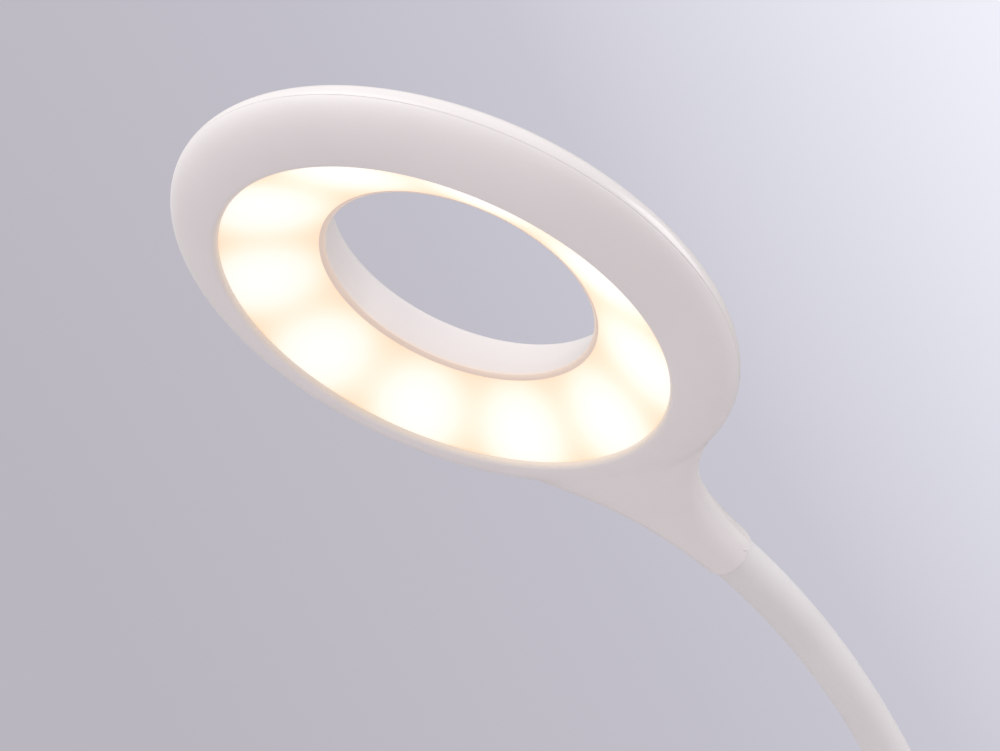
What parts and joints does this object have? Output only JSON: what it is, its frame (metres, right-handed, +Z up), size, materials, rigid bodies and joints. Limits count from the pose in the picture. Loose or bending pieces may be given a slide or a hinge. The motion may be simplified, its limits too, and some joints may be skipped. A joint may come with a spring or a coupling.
{
  "type": "rechargeable work light",
  "caption": "Rechargeable work light: a ring-shaped lamp head with a milky diffuser on a bendable sleeved gooseneck, over a weighted round base with a power button.",
  "frame": {"origin": "centre of the round base's underside, where the lamp stands on the table", "axes": "+Z up; the lamp head reaches towards -Y from the neck's root behind the centre; X is across"},
  "size_m": [0.124, 0.2744, 0.3412],
  "materials": {
    "white_matte": "satin white",
    "white_gloss": "gloss white",
    "white_silicone": "smooth matte",
    "milky_diffuser": "milky, lit warm white",
    "steel": "plain",
    "brass": "turned",
    "cast_weight": "painted",
    "grey_rubber": "matte",
    "battery_wrap": "silver foil wrap",
    "board_green": "solder mask",
    "board_white": "white solder mask",
    "component_black": "moulded",
    "connector_cream": "moulded",
    "clear_lens": "frosted",
    "led_chip": "phosphor",
    "lead_red": "insulation",
    "lead_black": "insulation",
    "lead_white": "insulation"
  },
  "bodies": {
    "base": {"base_cover": "white_matte", "base_floor": "white_matte", "foot_pad": "grey_rubber", "base_screws": "steel", "counterweight": "cast_weight", "weight_screws": "steel", "neck_bottom_ferrule": "brass", "ferrule_nut": "steel", "lock_washer": "steel", "neck_collar": "white_gloss", "battery_pack": "battery_wrap", "battery_pad": "grey_rubber", "control_board": "board_green", "control_chips": "component_black", "button_switch": "component_black", "board_screws": "steel", "status_lens": "clear_lens", "charger_board": "board_green", "usb_socket": "steel", "lead_connectors": "connector_cream", "battery_leads": "lead_red", "charger_leads": "lead_black", "lamp_leads": "lead_white", "neck_sleeve_00": "white_silicone", "neck_core_00": "steel"},
    "button": {"power_button": "white_gloss"},
    "neck_link_01": {"neck_sleeve_01": "white_silicone", "neck_core_01": "steel"},
    "neck_link_02": {"neck_sleeve_02": "white_silicone", "neck_core_02": "steel"},
    "neck_link_03": {"neck_sleeve_03": "white_silicone", "neck_core_03": "steel"},
    "neck_link_04": {"neck_sleeve_04": "white_silicone", "neck_core_04": "steel"},
    "neck_link_05": {"neck_sleeve_05": "white_silicone", "neck_core_05": "steel"},
    "neck_link_06": {"neck_sleeve_06": "white_silicone", "neck_core_06": "steel"},
    "neck_link_07": {"neck_sleeve_07": "white_silicone", "neck_core_07": "steel"},
    "neck_link_08": {"neck_sleeve_08": "white_silicone", "neck_core_08": "steel"},
    "neck_link_09": {"neck_sleeve_09": "white_silicone", "neck_core_09": "steel"},
    "neck_link_10": {"neck_sleeve_10": "white_silicone", "neck_core_10": "steel"},
    "neck_link_11": {"neck_sleeve_11": "white_silicone", "neck_core_11": "steel"},
    "head": {"front_housing": "white_matte", "rear_cover": "white_gloss", "diffuser": "milky_diffuser", "led_board": "board_white", "leds": "led_chip", "led_board_screws": "steel", "neck_top_ferrule": "brass", "ferrule_clamp": "steel", "clamp_screws": "steel", "head_leads": "lead_white", "neck_sleeve_12": "white_silicone", "neck_core_12": "steel"}
  },
  "joints": [
    {"name": "lower_side_01", "type": "hinge", "parent": "base", "child": "neck_link_01", "pos_m": [0, 0.04, 0.044], "axis": [0, 1, 0], "range_deg": [-12, 12]},
    {"name": "lower_pitch_02", "type": "hinge", "parent": "neck_link_01", "child": "neck_link_02", "pos_m": [0, 0.04, 0.0675], "axis": [1, 0, 0], "range_deg": [-12, 12]},
    {"name": "lower_side_03", "type": "hinge", "parent": "neck_link_02", "child": "neck_link_03", "pos_m": [0, 0.04, 0.091], "axis": [0, 1, 0], "range_deg": [-12, 12]},
    {"name": "lower_pitch_04", "type": "hinge", "parent": "neck_link_03", "child": "neck_link_04", "pos_m": [0, 0.04, 0.1145], "axis": [1, 0, 0], "range_deg": [-12, 12]},
    {"name": "lower_side_05", "type": "hinge", "parent": "neck_link_04", "child": "neck_link_05", "pos_m": [0, 0.04, 0.138], "axis": [0, 1, 0], "range_deg": [-12, 12]},
    {"name": "lower_pitch_06", "type": "hinge", "parent": "neck_link_05", "child": "neck_link_06", "pos_m": [0, 0.03725, 0.16129], "axis": [1, 0, 0], "range_deg": [-12, 12]},
    {"name": "upper_side_07", "type": "hinge", "parent": "neck_link_06", "child": "neck_link_07", "pos_m": [0, 0.02917, 0.18329], "axis": [0, 0.8917, 0.4525], "range_deg": [-12, 12]},
    {"name": "upper_pitch_08", "type": "hinge", "parent": "neck_link_07", "child": "neck_link_08", "pos_m": [0, 0.01618, 0.20281], "axis": [1, 0, 0], "range_deg": [-12, 12]},
    {"name": "upper_side_09", "type": "hinge", "parent": "neck_link_08", "child": "neck_link_09", "pos_m": [0, 0.00011, 0.21995], "axis": [0, 0.695, 0.719], "range_deg": [-12, 12]},
    {"name": "upper_pitch_10", "type": "hinge", "parent": "neck_link_09", "child": "neck_link_10", "pos_m": [0, -0.01756, 0.23543], "axis": [1, 0, 0], "range_deg": [-12, 12]},
    {"name": "upper_side_11", "type": "hinge", "parent": "neck_link_10", "child": "neck_link_11", "pos_m": [0, -0.03665, 0.24911], "axis": [0, 0.5419, 0.8405], "range_deg": [-12, 12]},
    {"name": "upper_pitch_12", "type": "hinge", "parent": "neck_link_11", "child": "head", "pos_m": [0, -0.057, 0.26085], "axis": [1, 0, 0], "range_deg": [-12, 12]},
    {"name": "button_press", "type": "slide", "parent": "base", "child": "button", "axis": [0, 0, -1], "range_m": [0, 0.0006], "stiffness_N_per_m": 2500, "springref_m": -0.0006}
  ],
  "couplings": [
    {"joint": "lower_side_03", "follows": "lower_side_01", "ratio": 1},
    {"joint": "lower_pitch_04", "follows": "lower_pitch_02", "ratio": 1},
    {"joint": "lower_side_05", "follows": "lower_side_01", "ratio": 1},
    {"joint": "lower_pitch_06", "follows": "lower_pitch_02", "ratio": 1},
    {"joint": "upper_side_09", "follows": "upper_side_07", "ratio": 1},
    {"joint": "upper_pitch_10", "follows": "upper_pitch_08", "ratio": 1},
    {"joint": "upper_side_11", "follows": "upper_side_07", "ratio": 1},
    {"joint": "upper_pitch_12", "follows": "upper_pitch_08", "ratio": 1}
  ]
}
